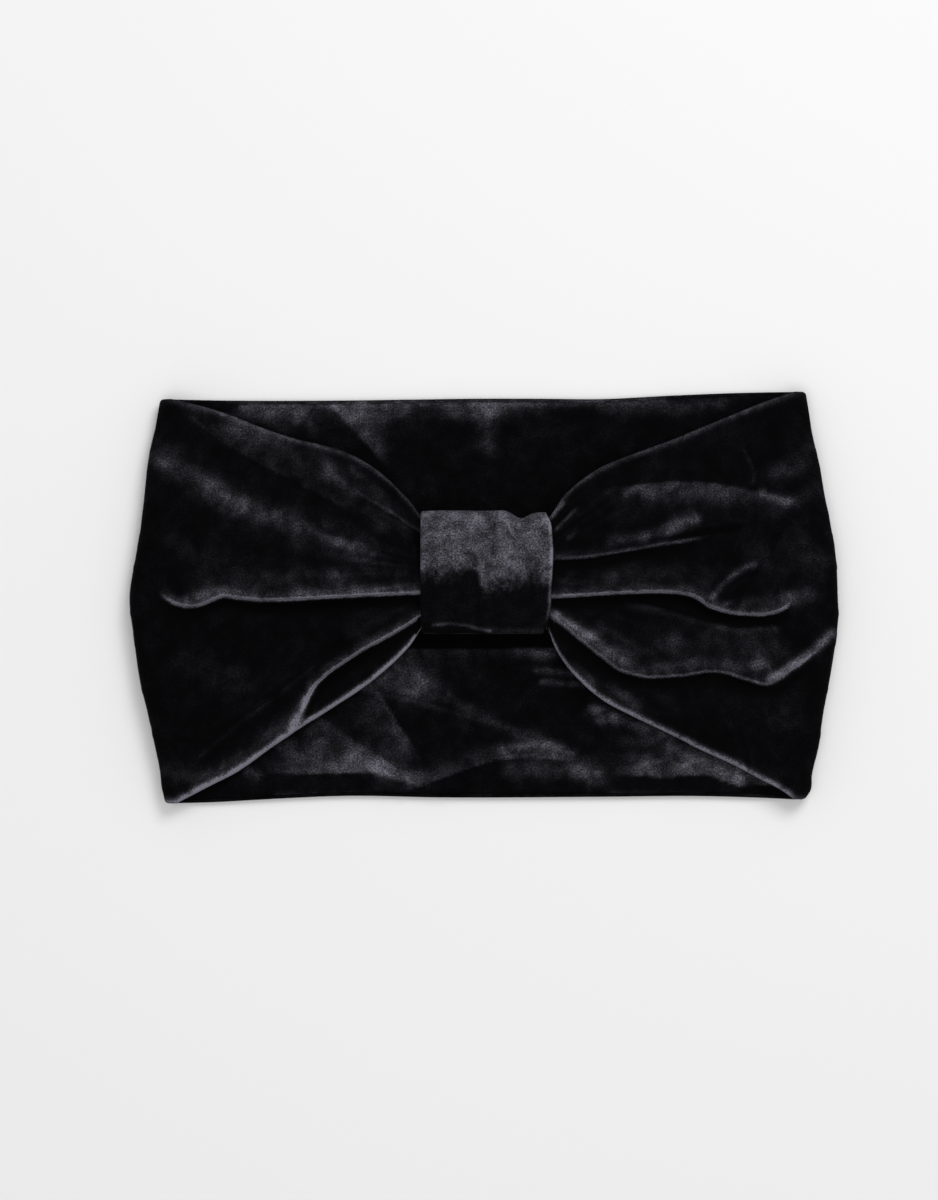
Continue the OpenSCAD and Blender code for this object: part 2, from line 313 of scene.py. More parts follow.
back_painted_light = [  # path, width, strength: painted sheen, and painted shade where the strength is below 0
    ([(-82, 65), (-40, 65.8), (18, 66), (60, 67)], 1.6, 0.36),
    ([(-82, 62.5), (-50, 62.5), (-30, 63), (18, 64)], 2.6, 0.2),
    ([(-74, 62), (-60, 60.5)], 4, 0.2), ([(-50, 63), (-37, 49)], -4.5, 0.4),
    ([(-44, 62), (-34, 60)], 4, 0.2),
    ([(1, 62), (2, 56), (1, 52)], 3.5, 0.26), ([(-14, 62), (0, 63)], 3, 0.15),
    ([(40, 64), (80, 66)], 2.5, 0.2),
    ([(-38, -20), (-28, -25), (-20, -30)], 6, 0.36), ([(-41, -30), (-18, -34.5)], -5, 0.16),
    # the first stroke here paints a light edge where the painted shadow under the knot ends
    ([(22, -17), (-34, -17)], -3, 0.2), ([(-26, -47), (-34.5, -33.5)], -7, 0.36),
    ([(-64, -59.6), (-50, -59.8), (-39, -59), (-25, -63)], -6.5, 0.42),
    ([(-58, -47), (-48, -52), (-34, -59)], 4.5, 0.24),
    ([(-24, -61.5), (-53, -42)], -4, 0.16), ([(-80, -59), (-77, -60)], 2, 0.3),
    ([(-68, -50), (-61, -53)], 3, 0.22),
    ([(-41, -31), (-20, -36), (-2, -41), (8, -44)], 1.0, 0.14),
    ([(-12, -34), (4, -42), (16, -47), (26, -51)], 2.0, 0.24),
    ([(-22, -64), (-8, -59), (4, -55), (16, -54), (26, -55)], -4.5, 0.36),
    ([(6, -51), (22, -50), (30, -53)], 1.4, 0.24),
    ([(10, -59), (28, -58), (38, -60)], 3.2, 0.28), ([(20, -53), (36, -60)], 4, 0.14),
    ([(12, -18), (24, -19)], 2.0, 0.3), ([(18, -24.5), (31, -25.5)], 1.1, 0.34),
    ([(20, -28.5), (34, -29.5)], 1.2, 0.28),
    ([(37, -38), (44, -39.5), (40, -41)], 2.0, 0.55),
    ([(45, -41), (54, -43.5), (63, -48)], 2.4, 0.42),
    ([(48, -48), (56, -49)], 1.6, 0.24),
    ([(55, -60.6), (60, -61), (75, -60), (87, -64), (94, -63.5)], -8, 0.5),
    ([(63, -51), (76, -54), (88, -60)], 4, 0.22),
    ([(44, -66.4), (74, -66.6)], 1.0, 0.22), ([(-70, -67), (-40, -66.6)], 1.0, 0.2),
    # painted shadow along the knot's lower edge
    ([(-23, -15), (23, -15)], 1.6, -0.3),
]


def back_wrinkle(x, y):
    """Height of the head side's wrinkles: creases sink, ridges rise, soft bumps lie between, and
    what would rise by more than 0.1 under the knot is pressed flat."""
    z = 0.5 * crumple(x, y, 17, 3) + 0.3 * crumple(x, y, 7, 4)
    z = z - sum(d * near(x, y, path, w) for path, w, d in back_creases)
    z = z + sum(d * near(x, y, path, w) for path, w, d in back_ridges)
    z = np.maximum(0.35 + z, -0.65)
    under_knot = ease((26 - np.abs(x)) / 4) * ease((y + 17) / 4) * ease((33 - y) / 4)
    z = z - under_knot * np.maximum(z - 0.1, 0)
    seam = 0.5 * bell((x + 82.5) / 0.8)
    return z * ease((flat_end - np.abs(x)) / 12) - seam


def tone_with_painted_light(x, y, base, strokes, seed):
    """Pile tone with painted light: a base, strokes of painted sheen, and of painted shade where
    the strength is below 0, and soft random patches. A stroke with a width below 0 lies only on
    the left of its path."""
    painted_strokes = [s * (beside if w < 0 else near)(x, y, path, abs(w)) for path, w, s in strokes]
    lit = base + 0.8 * sum(painted_strokes)
    return lit * (1 + 0.3 * crumple(x, y, 7, seed) + 0.15 * crumple(x, y, 3, seed + 2))


velvet = crushed_velvet("black stretch velvet, cut pile, crushed, with painted sheen", "#040405", "#7a7883", "#7c7b88")
grid = back_layer(inside=band_t, edge_in=hem_r + 0.05, step=0.9, wrinkle=back_wrinkle)
# pile tone with painted sheen and the painted shadow under the knot
pile_tone_and_painted_light = tone_with_painted_light(grid[..., 0], grid[..., 1], 0.1, back_painted_light, 11)
back_inner = cloth_mesh("back_velvet_head_side", grid, pile_tone_and_painted_light, 1)
back_inner.data.materials.append(velvet)
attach(back_inner, "back")
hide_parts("back_inner")

# ---------------------------------------------------------------- back half, outer side
# The outer layer lies on the table. Its long edges roll up round the seam allowances, so
# that no raw edge shows, and it turns up at both side folds like the head side.
hem_columns = 8  # columns of points round a rolled edge


def with_hems(grid, up, r):
    """Adds a rolled hem to both long edges: a half turn of radius r about a line inside the edge.
    up is the direction into the band from its outer face."""
    turn = np.radians(np.linspace(0, 180, hem_columns + 1))[1:]
    rolls = []
    for end, inner in ((0, 1), (-1, -2)):
        edge = grid[:, end]
        out = edge - grid[:, inner]
        out = out / np.linalg.norm(out, axis=1)[:, None]
        roll = [edge + r * np.sin(a) * out + r * (1 - np.cos(a)) * up for a in turn]
        rolls.append(np.stack(roll, axis=1))
    return np.concatenate([rolls[0][:, ::-1], grid, rolls[1]], axis=1)


def fold_inward(grid):
    """Directions from the outer face into the band, along the rows of a back layer's grid."""
    x, z = grid[:, 0, 0], grid[:, 0, 2]
    up = np.clip(1 - z / side_radius(grid[:, 0, 1]), 0, 1)
    return np.stack([-np.sign(x) * np.sqrt(1 - up**2), 0 * x, up], axis=-1)


grid = back_layer(inside=0.0, edge_in=hem_r, step=1.2, wrinkle=lambda x, y: 0 * x)
grid = with_hems(grid, fold_inward(grid), hem_r)
# pile tone with painted sheen along the upper edge
pile_tone_and_painted_light = tone_with_painted_light(grid[..., 0], grid[..., 1], 0.14, back_painted_light[:1], 13)
back_outer = cloth_mesh("back_velvet_outer_side", grid, pile_tone_and_painted_light, -1)
back_outer.data.materials.append(velvet)
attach(back_outer, "back")
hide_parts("back_outer")

# ---------------------------------------------------------------- front wings, outer side
# The band's front on each side of the knot: one strip of velvet, full width at its side fold
# and gathered into the knot, so that it laps over itself in pleats that fade out sideways.
mouth = 19.5  # where a wing ends, just inside the knot loop
band_w = 138.0
knot_y = 8.0
mouth_top_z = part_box("knot_wrap_outer")[1].z / MM - 3.1  # top face of the gathers in the mouth


def spread(side, y):
    """How much longer than a wing's middle stretch the stretch at y is, from mouth to side fold."""
    return (side_end(side, y) - mouth) / (flat_end - mouth)


def corner(side, edge):
    """Where a long edge of the back half runs into a side fold: distance from the middle, and y."""
    y = line(edge, np.array(side * flat_end))
    return float(side_end(side, y)), float(y)


def lay_line(side, points, d):
    """A line over a wing from points (distance from the middle, y), at distances d along it."""
    laid = [(mouth + (p - mouth) / float(spread(side, np.array(q))), q) for p, q in points]
    return line(laid, d)


def wing_height(d, y, q):
    """Height of a wing's face without its pleats: the side fold's top, rising to the knot's
    mouth, and drooping to the back half along its long edges. q is -1 and 1 at the edges."""
    t = ease((flat_end - d) / (flat_end - mouth))
    crown = 0.8 * np.sin(np.pi * t) - 4.2 * np.sin(np.pi * t) * q**4
    return (1 - t) * 2 * side_radius(y) + t * (mouth_top_z - 1.5 * q**4) + crown


def wing_rows(rows):
    """For each row of points over a wing, its distance from the middle and its angle round the side
    fold from straight down: a quarter turn at the fold's outer half, then level to the mouth."""
    turn = np.radians(np.linspace(90, 180, fold_rows + 1))[:-1]
    flat = np.linspace(flat_end, mouth, rows - fold_rows)
    d = np.concatenate([np.full(fold_rows, flat_end), flat])
    angle = np.concatenate([turn, np.full(rows - fold_rows, np.pi)])
    return d[:, None], angle[:, None]


def pleated(side, top, bottom, pleats, bumps, rows, across):
    """Points of a wing's outer layer.

    A row runs from the upper edge to the lower one, c millimetres along the cloth. Its y falls
    with c, and each pleat takes up some cloth in an eased step, so that y turns back and the
    cloth laps over itself. Its height drops at the pleat's lip and again at its inner turn, and
    comes back with the distance from the lip. Then rows are spaced out evenly along the cloth.
    """
    d, angle = wing_rows(rows)
    c = np.linspace(0, band_w, 1100)[None, :]
    y_top, y_bottom = lay_line(side, top, d), lay_line(side, bottom, d)
    spare = band_w - (y_top - y_bottom)
    taken = [line(p["share"], d) * spare for p in pleats]
    ease_off = (spare - sum(taken)) / band_w
    y = y_top - (1 - ease_off) * c
    before = 0 * d
    drops = []
    for p, e in zip(pleats, taken):
        e = np.maximum(e, 0.01)
        half = np.maximum(3.0, 0.4 * e)
        inside = np.clip(1 - 4 * (1 - ease_off) * half / (3 * e), 0, 1)
        t = (1 - np.sqrt(inside)) / 2
        lip_y = lay_line(side, p["lip"], d)
        centre = (y_top - lip_y + before + e * ease(t)) / (1 - ease_off) + half * (1 - 2 * t)
        y = y + e * ease((c - centre + half) / (2 * half))
        before = before + e
        drops.append((p, lip_y, centre - half * (1 - 2 * t), centre + half * (1 - 2 * t)))
    q = np.clip(2 * (y - y_bottom) / (y_top - y_bottom) - 1, -1.1, 1.1)
    w = 0 * y  # how far the face stands above the wing without its pleats
    for p, lip_y, lip, inner in drops:
        deep = line(p["deep"], d)
        over = ease((c - lip) / (2 * p["turn"]) + 0.5)
        under = ease((c - inner) / (2 * p["turn"]) + 0.5)
        back = 1 / (1 + (np.maximum(0, lip_y - y) / p["back"]) ** 2)
        w = w - deep * (0.8 * over + 0.2 * under) * back
        above = (y - lip_y) / p["plump"] - 1
        w = w + 0.55 * deep * bell(above) * (1 - over)
    # Soft bumps all over, fine creases fanning out of the knot, and streaks along the side fold.
    loose = ease((flat_end - d) / 10) * ease((d - mouth) / 12)
    flat_x = mouth + (d - mouth) * spread(side, y)
    x = side * flat_x
    w = w + loose * (0.45 * crumple(x, y, 15, 21) + 0.25 * crumple(x, y, 6.5, 22))
    fan = np.degrees(np.arctan2(y - knot_y, flat_x - 6))
    w = w + ease((d - mouth) / 6) * ease((75 - d) / 50) * 0.35 * crumple(fan, d / 6, 4, 23)
    by_fold = ease((d - 88) / 20) * ease((flat_end + 4 - d) / 6)
    w = w + by_fold * 0.22 * crumple(flat_x / 4, y, 2.6, 24)
    for path, width, height in bumps:
        w = w + height * near(flat_x, y, path, width) * ease((flat_end - d) / 6)
    fold = side_fold(side, y, -w, angle)
    flat = np.stack([x, y, wing_height(d, y, q) + w], axis=-1)
    dense = np.where((angle < np.pi)[..., None], fold, flat)
    c0 = hem_r / (1 - ease_off)
    grid = np.empty((len(d), across, 3))
    for i, row in enumerate(dense):
        keep = (c[0] >= c0[i]) & (c[0] <= band_w - c0[i])
        row = row[keep]
        run = np.concatenate([[0], np.cumsum(np.linalg.norm(np.diff(row, axis=0), axis=1))])
        even = np.linspace(0, run[-1], across)
        grid[i] = np.stack([np.interp(even, run, row[:, k]) for k in range(3)], axis=-1)
    inward = np.stack([-side * np.sin(angle[:, 0]), 0 * angle[:, 0], np.cos(angle[:, 0])], axis=-1)
    return with_hems(grid, inward, hem_r)


# Each wing by its side, with points as (distance from the middle, y). top and bottom are its long
# edges. A pleat's lip is its fold line. Along it, share is its part of the spare cloth and deep its
# drop. turn is how wide the lip rolls, back how far the cloth below needs to come up again, and
# plump how far above the lip it swells. rim and shade are how strong the painted highlight on the
# lip and the painted shade under it are, and the hem pair the same painted highlight for the upper
# and the lower edge. A bump is a path, its width and height, and a stroke of painted sheen a path,
# its width and its strength.
wings = {
    -1: {
        "part": "wing_left",
        "painted_hem_highlights": (0.35, 1.5),
        "top": [(19.5, 26), (21.6, 28.3), (24, 31.6), (28, 36), (32, 40), (36.6, 43.8), (42, 47.2),
                (47.2, 49.6), (56, 52.2), (66.4, 54.8), (75, 57.8), (83.7, 61.2), (92, 64),
                (100, 66), corner(-1, back_top)],
        "bottom": [(19.5, -8), (21.5, -11), (24, -15), (28, -19.6), (34, -25.2), (41.4, -31),
                   (50, -36.6), (60.6, -43.4), (72, -51), (81.7, -58), (92, -63.4),
                   corner(-1, back_bottom)],
        "pleats": [
            {"lip": [(21, 22), (30, 28), (38.5, 33), (47, 38), (60, 44)],
             "share": [(21, 0.1), (35, 0.16), (50, 0.08), (60, 0.0)],
             "deep": [(21, 1.6), (38, 1.6), (50, 0.6), (58, 0.0)],
             "turn": 1.3, "back": 6, "plump": 3, "rim": 0.3, "shade": 0.5},
            {"lip": [(21, 1.8), (35, 1.2), (50, 0.4), (65, -0.4), (76, -0.6), (84, 0.2),
                     (88, 0.6), (92, -0.8), (97, -2.6), (103, -2.2), (112, 3)],
             "share": [(21, 0.44), (50, 0.5), (80, 0.55), (100, 0.6), (110, 0.0)],
             "deep": [(21, 1.9), (45, 4.2), (80, 3.8), (100, 2.6), (107, 1.1), (112, 0.0)],
             "turn": 1.5, "back": 13, "plump": 5, "rim": 1.3, "shade": 0.9},
            {"lip": [(21, -6), (31.6, -12.5), (40.3, -17.2), (48, -22.2), (54, -26.6), (58, -31),
                     (61, -37), (66, -44)],
             "share": [(21, 0.28), (45, 0.22), (58, 0.1), (66, 0.0)],
             "deep": [(21, 1.6), (35, 2.8), (50, 3.2), (58, 2.0), (64, 0.0)],
             "turn": 1.4, "back": 4, "plump": 3, "rim": 1.4, "shade": 0.9},
        ],
        "bumps": [
            ([(98, 59), (83, 48.5), (66, 40), (49, 30.6)], 1.0, -0.6),
            ([(110, 50), (96, 40), (76, 31.6), (59, 26.5)], 6, 0.9),
            ([(48, -13), (58, -22), (69, -31), (83, -41), (96, -52)], 1.1, -0.7),
            ([(104, -14), (90, -18), (70, -16)], 5, 0.6),
        ],
        "painted_sheen": [
            ([(108, 47), (100, 41), (90, 34), (80, 30), (66, 25), (50, 19), (40, 16)], 5, 0.3),
            ([(98, 43), (84, 33), (70, 28)], 2.5, 0.2), ([(104, 44), (112, 47)], 2, 0.25),
            ([(86, 58), (78, 54), (70, 52)], 4, 0.28), ([(66, 50), (60, 46), (54, 45)], 4, 0.3),
            ([(49, 31), (66, 40.5), (83, 49), (98, 59.5)], -3.5, 0.16),
            ([(52, 42), (44, 35), (38, 29), (34, 25)], 2.6, 0.36),
            ([(44, 44), (36, 36), (30, 30)], 1.8, 0.2),
            ([(33, 28), (26, 22)], 2.6, 0.36),
            ([(92, 2), (80, 5), (60, 6), (30, 6)], 5, 0.2), ([(66, 2), (40, 3), (24, 3.5)], 2, 0.2),
            ([(104, 19), (96, 14), (84, 12)], 5, 0.08), ([(100, -1), (92, 2), (84, 2)], 2.0, 0.4),
            ([(96, -53), (83, -42), (69, -32), (58, -23)], -1.2, 0.12),
            ([(99, -22), (82, -27)], 6, 0.09), ([(108, -60), (96, -61), (88, -60)], 4, 0.14),
            ([(92, -61), (78, -51), (66, -42), (60, -38)], 3, 0.25),
            ([(57.5, -31), (60, -35), (62, -40), (66, -44)], 1.5, 0.7),
            ([(63, -41), (72, -48)], 2.5, 0.2),
            ([(46, -12), (36, -8), (26, -2)], 2, 0.14),
        ],
    },
    1: {
        "part": "wing_right",
        "painted_hem_highlights": (0.35, 1.0),
        "top": [(19.5, 24.5), (22, 27.2), (23.6, 29.3), (26.4, 33.7), (30.3, 37.6), (37, 42.7),
                (50.4, 48.8), (62.6, 53.3), (80.5, 60.5), (92, 65.2), corner(1, back_top)],
        "bottom": [(19.5, -8.4), (21.5, -10.8), (24, -16.5), (27.7, -22.6), (33, -28.6),
                   (39.3, -34), (50, -40), (60.4, -45), (72, -50.8), (87.3, -58), (98, -63.6),
                   corner(1, back_bottom)],
        "pleats": [
            {"lip": [(21, 13.4), (34.7, 13.8), (47, 15.9), (60.4, 18.1), (71.6, 19.8), (85, 23)],
             "share": [(21, 0.2), (50, 0.2), (70, 0.1), (82, 0.0)],
             "deep": [(21, 1.6), (45, 2.2), (62, 1.8), (72, 1.0), (82, 0.0)],
             "turn": 1.3, "back": 6, "plump": 4, "rim": 0.55, "shade": 0.8},
            {"lip": [(21, 0.2), (28, 0.6), (40, 1.4), (52, 2), (62.6, 2), (71.6, 0.4), (77, -3),
                     (82.7, -4.7), (89.4, -5.4), (96, -5.4), (100.6, -4), (106, 0)],
             "share": [(21, 0.3), (60, 0.36), (85, 0.5), (98, 0.5), (107, 0.0)],
             "deep": [(21, 1.9), (45, 3.2), (80, 4.0), (96, 3.0), (106, 0.0)],
             "turn": 1.5, "back": 6, "plump": 4, "rim": 1.3, "shade": 0.8},
            {"lip": [(21, -4.5), (31, -12.6), (39.6, -19.6), (46, -24.2), (53, -26.3),
                     (66, -26.2), (80, -24.8), (88, -27.2), (96, -29), (105, -23.6), (116, -15)],
             "share": [(21, 0.3), (45, 0.3), (70, 0.3), (100, 0.2), (112, 0.0)],
             "deep": [(21, 1.6), (38, 2.8), (60, 2.6), (96, 2.4), (110, 1.4), (115, 0.0)],
             "turn": 2.0, "back": 9, "plump": 4, "rim": 0.7, "shade": 0.6},
        ],
        "bumps": [
            ([(23, 27), (27, 32)], 0.9, 0.9), ([(24, 22.6), (31, 30)], 0.9, 0.9),
            ([(24, 25), (29, 31)], 0.6, -0.8),
            ([(77, 0), (81, 5), (86, 9), (91, 11)], 1.4, 1.3),
            ([(81, 0), (86, 4.6), (92, 7.6)], 2.2, -1.2),
            ([(44, -0.6), (57, -2.4), (66, -5), (76, -8), (85, -10), (98, -9)], 0.9, -0.9),
            ([(53, 38), (75, 36), (94, 33)], 5, 0.8),
            ([(89, 48.5), (91, 42)], 0.8, -0.7), ([(86, 5), (100, 6)], 4, -1.2),
        ],
        "painted_sheen": [
            ([(95, 35.4), (85, 37.6), (78, 38.8), (65, 39.5), (50, 38)], -5.5, 0.36),
            ([(58, 34), (70, 35), (82, 34)], 3, 0.14),
            ([(94, 35.6), (98, 34), (103, 32.4)], 1.5, 0.42),
            ([(97, 30), (108, 33), (113, 36)], 3, 0.16),
            ([(99, 42), (106, 46), (112, 52)], 3.5, 0.2),
            ([(88, 50), (90, 46), (91.5, 42), (91, 39)], 0.6, 0.2),
            ([(106, 24), (114, 10)], 4, 0.14),
            ([(43, 20), (52, 20.6), (60, 21.6), (67, 24.6), (72, 26.6)], 1.9, 0.5),
            ([(62, 24), (70, 28)], 2.6, 0.22),
            ([(56, 19.6), (66, 20.6), (76, 22.6), (86, 24)], 0.9, -0.25),
            ([(24.5, 23.3), (31, 29.8)], 0.7, 0.6), ([(23.3, 27.5), (26.8, 31.8)], 0.8, 0.7),
            ([(28.4, 20.4), (32, 23)], 0.8, 0.3),
            ([(30, 6), (60, 7), (74, 5)], 4, 0.14),
            ([(91, 11), (86, 9), (81, 5), (77, 0)], 1.3, 0.4),
            ([(82, -2), (83.5, -1.6)], 0.8, 0.4), ([(88, -2), (96, -1), (103, 1)], 2, 0.2),
            ([(104, -1), (110, 1)], 2.5, 0.3),
            ([(90, 16), (100, 12), (106, 14)], 4, 0.1),
            ([(98, -9.4), (85, -10.2), (76, -8.2), (66, -5.2), (57, -2.6), (46, -0.8)], -2.2, 0.24),
            ([(25, -6), (33, -11), (40, -16), (46, -21)], 2.4, 0.75),
            ([(40, -12), (48, -17), (50, -21)], 3.5, 0.25),
            ([(54, -24), (66, -22), (80, -22.5), (96, -23)], 2.2, 0.28),
            ([(58, -16), (76, -15), (92, -16)], 6, 0.16),
            ([(97, -27.5), (106, -22), (118, -12)], 1.7, 0.85), ([(93, -22), (100, -18)], 3, 0.2),
            ([(104, -42), (96, -36)], 4, 0.1), ([(30, -24), (40, -30), (52, -36)], 2.2, 0.25),
        ],
    },
}
seam_column = hem_columns + 2  # where the stitches run, counted from a long edge


def bend_between(piece):
    """Bakes a wing's piece's placement into its mesh."""
    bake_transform(piece)


mouth_rows = {}
for side, wing in wings.items():
    grid = pleated(side, wing["top"], wing["bottom"], wing["pleats"], wing["bumps"],
                   rows=136, across=250)
    mouth_rows[side] = grid[-1]
    top_face = grid[fold_rows + 1:]
    wing["seam_lines"] = [top_face[:, seam_column], top_face[:, -1 - seam_column]]
    d, y = np.abs(grid[..., 0]), grid[..., 1]
    streak = crumple(np.degrees(np.arctan2(y - knot_y, d - 6)) / 2.5, d / 16, 1, 26 + side)
    # pile tone with strokes of painted sheen, varied by streaks
    pile_tone_and_painted_light = tone_with_painted_light(d, y, 0.11, wing["painted_sheen"], 30 + side)
    pile_tone_and_painted_light = pile_tone_and_painted_light * (0.85 + 0.3 * streak * ease((100 - d) / 60))
    # Painted highlight on each pleat's lip, where the face looks up to the light, and painted shade
    # just under it.
    outward = np.cross(np.gradient(grid, axis=0), np.gradient(grid, axis=1))
    facing_up = side * outward[..., 2] / np.maximum(np.linalg.norm(outward, axis=-1), 1e-9)
    for p in wing["pleats"]:
        rise = line(p["lip"], d + 0.5) - line(p["lip"], d - 0.5)
        off = (y - line(p["lip"], d)) / np.hypot(1, rise)
        open_here = ease((line(p["deep"], d) - 0.4) / 1.2)
        # painted shade just under the lip
        pile_tone_and_painted_light = pile_tone_and_painted_light * (1 - p["shade"] * open_here * bell((off + 2.4) / 2.0))
        # painted highlight on the lip
        painted_highlight = 0.95 * bell(off / 0.5) + 0.18 * bell((off - 0.8) / 1.8) * (off > -0.5)
        pile_tone_and_painted_light = pile_tone_and_painted_light + p["rim"] * open_here * painted_highlight * ease(facing_up * 2 + 0.35)
    # painted highlights along both rolled hems, fading out towards the side fold
    column = np.arange(grid.shape[1])
    for edge_column, rim in zip((hem_columns - 2, len(column) - hem_columns + 1), wing["painted_hem_highlights"]):
        pile_tone_and_painted_light = pile_tone_and_painted_light + rim * bell((column - edge_column) / 3)[None, :] * ease((flat_end - 2 - d) / 12)
    piece = cloth_mesh(wing["part"] + "_velvet_outer_side", grid, pile_tone_and_painted_light, side)
    piece.data.materials.append(velvet)
    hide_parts(wing["part"] + "_outer")
    bend_between(piece)

# ---------------------------------------------------------------- front wings, head side
# The inner layer of the wings follows the outer one more simply, in small even gathers, and
# ends inside the rolled hems.
def lining(side, top, bottom, rows, across):
    """Points of a wing's inner layer: under the outer one by a depth that grows from the side
    fold to the knot, and by less at the hems, with a row of even gathers as a sine across."""
    d, angle = wing_rows(rows)
    c = np.linspace(0, 1, across)[None, :]
    y_top = lay_line(side, top, d) - hem_r - 0.05
    y_bottom = lay_line(side, bottom, d) + hem_r + 0.05
    y = y_top + (y_bottom - y_top) * c
    edge = ease(np.minimum(y_top - y, y - y_bottom) / 7)
    gather = line(gather_height, d) * np.sin(2 * np.pi * 13 * c) * edge
    inside = band_t + edge * line(lining_depth, d) - gather
    fold = side_fold(side, y, band_t + 0 * y, angle)
    flat_x = mouth + (d - mouth) * spread(side, y)
    flat = np.stack([side * flat_x, y, wing_height(d, y, 1 - 2 * c) - inside], axis=-1)
    return np.where((angle < np.pi)[..., None], fold, flat)


lining_depth = [(21.5, 3.4), (35, 4.2), (45, 4.8), (80, 4.4), (98, 3.0), (108, 1.2), (114.6, 0)]
gather_height = [(21.5, 1.9), (35, 1.4), (60, 0.9), (95, 0.5), (110, 0), (114.6, 0)]
for side, wing in wings.items():
    grid = lining(side, wing["top"], wing["bottom"], rows=100, across=300)
    pile_tone_and_painted_light = tone_with_painted_light(grid[..., 0], grid[..., 1], 0.12, [], 40 + side)
    piece = cloth_mesh(wing["part"] + "_velvet_head_side", grid, pile_tone_and_painted_light, -side)
    piece.data.materials.append(velvet)
    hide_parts(wing["part"] + "_inner")
    bend_between(piece)
    wing["lining_row"] = grid[-1]

# ---------------------------------------------------------------- wing seams
# Lockstitch in black polyester thread, just inside each long edge of the front, where the two
# layers were sewn face to face before the tube was turned.
def spun_thread(name, dark, lit):
    """Spun polyester thread: slanting bands for its two twisted plies, and a dull gloss. The bands
    are much longer than the real twist, which can't be seen while the thread is out of sight."""
    band_mm = 7.54  # from one band to the next along an axis
    wave_turn = 0.2 * np.pi  # the same in the texture's own coordinates, at a scale of 1
    material = bpy.data.materials.new(name)
    material.use_nodes = True
    tree = material.node_tree
    tree.nodes.clear()
    place = node(tree, "ShaderNodeTexCoord").outputs["Object"]
    ply = node(tree, "ShaderNodeTexWave", [("Vector", place)], bands_direction="DIAGONAL",
               inputs={"Scale": wave_turn / (band_mm * MM), "Distortion": 1.0})
    colour = node(tree, "ShaderNodeMix", [("Factor", ply.outputs["Fac"])], data_type="RGBA")
    colour.inputs[6].default_value = linear(dark)
    colour.inputs[7].default_value = linear(lit)
    shader = node(tree, "ShaderNodeBsdfPrincipled", [("Base Color", colour.outputs[2])],
                  inputs={"Roughness": 0.6, "Specular IOR Level": 0.3})
    node(tree, "ShaderNodeOutputMaterial", [("Surface", shader.outputs["BSDF"])])
    return material


thread = spun_thread("black polyester thread, spun", "#060607", "#17161a")


def seam_thread(path, depth, stitch, r):
    """Thread under a line on the cloth: a hexagonal tube of radius r at a depth below the line's
    points, waving up and down once in a stitch, as a sine of the length along it."""
    run = np.concatenate([[0], np.cumsum(np.linalg.norm(np.diff(path, axis=0), axis=1))])
    even = np.arange(0, run[-1], stitch / 6)
    centre = np.stack([np.interp(even, run, path[:, k]) for k in range(3)], axis=-1)
    centre[:, 2] += 0.12 * np.sin(2 * np.pi * even / stitch) - depth
    turn = np.radians(np.arange(0, 360, 60))
    ring = np.stack([0 * turn, r * np.cos(turn), r * np.sin(turn)], axis=-1)
    return centre[:, None] + ring[None]


for side, wing in wings.items():
    points, faces = [], []
    for path in wing["seam_lines"]:
        tube = seam_thread(path, depth=hem_r, stitch=2.5, r=0.15)
        i, j = np.meshgrid(np.arange(len(tube) - 1), np.arange(6), indexing="ij")
        quad = [i * 6 + j, i * 6 + (j + 1) % 6, i * 6 + 6 + (j + 1) % 6, i * 6 + 6 + j]
        faces.append(np.stack(quad[::-side], axis=-1).reshape(-1, 4) + sum(map(len, points)))
        points.append(tube.reshape(-1, 3))
    mesh = bpy.data.meshes.new(wing["part"] + "_stitches")
    mesh.from_pydata(np.concatenate(points) * MM, [], np.concatenate(faces).tolist())
    piece = bpy.data.objects.new(wing["part"] + "_stitches", mesh)
    bpy.context.scene.collection.objects.link(piece)
    mesh.materials.append(thread)
    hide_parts(wing["part"] + "_seams")
    bend_between(piece)

# ---------------------------------------------------------------- gathered middle
# Both layers go on through the knot loop, still in their pleats, from one wing to the other. A
# gathering thread draws them together in the middle.
def through_knot(left_row, right_row, rows, ripple):
    """Points of a layer inside the knot loop: straight lines from one wing's end to the other's.
    Fine ripples, as a sine across, sink by ripple at most, half way, where the thread draws in."""
    t = np.linspace(0, 1, rows)[:, None]
    c = np.linspace(0, 1, len(left_row))
    grid = left_row * (1 - t[..., None]) + right_row * t[..., None]
    edge = ease(np.minimum(c, 1 - c) / 0.06)
    grid[..., 2] -= ripple * 4 * t * (1 - t) * edge * (1 + np.sin(2 * np.pi * 20 * c)) / 2
    return grid


lining_rows = {side: wing["lining_row"] for side, wing in wings.items()}
for part, ends, ripple, cut_w, out, slot in (
    ("outer", mouth_rows, 1.1, 0.143, -1, "velvet_outside"),
    ("inner", lining_rows, 0.0, 0.1355, 1, "velvet_head_side"),
):
    grid = through_knot(ends[-1], ends[1], rows=24, ripple=ripple)
    piece = cloth_mesh("gathered_velvet_" + part, grid, np.full(grid.shape[:2], 0.05), out)
    piece.data.materials.append(velvet)
    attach(piece, "knot")
    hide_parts("gathered_" + part)

# ---------------------------------------------------------------- knot loop
# A short doubled tab of velvet, wrapped round the gathers and sewn shut underneath, its two
# ends turned in. Its upper half is painted lighter, as painted light from above, and its lower half
# darker, as painted shade.
wrap_low, wrap_high = (np.array(v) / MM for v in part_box("knot_wrap_outer"))
wrap_half_x, wrap_half_y = 22.2, 21.1  # half its length along the band, and half its width
wrap_mid_y, wrap_mid_z = 8.2, (wrap_low[2] + wrap_high[2]) / 2
wrap_half_z = (wrap_high[2] - wrap_low[2]) / 2
corner_r = 4.6  # of the rounded rectangle that the loop makes, seen from its end
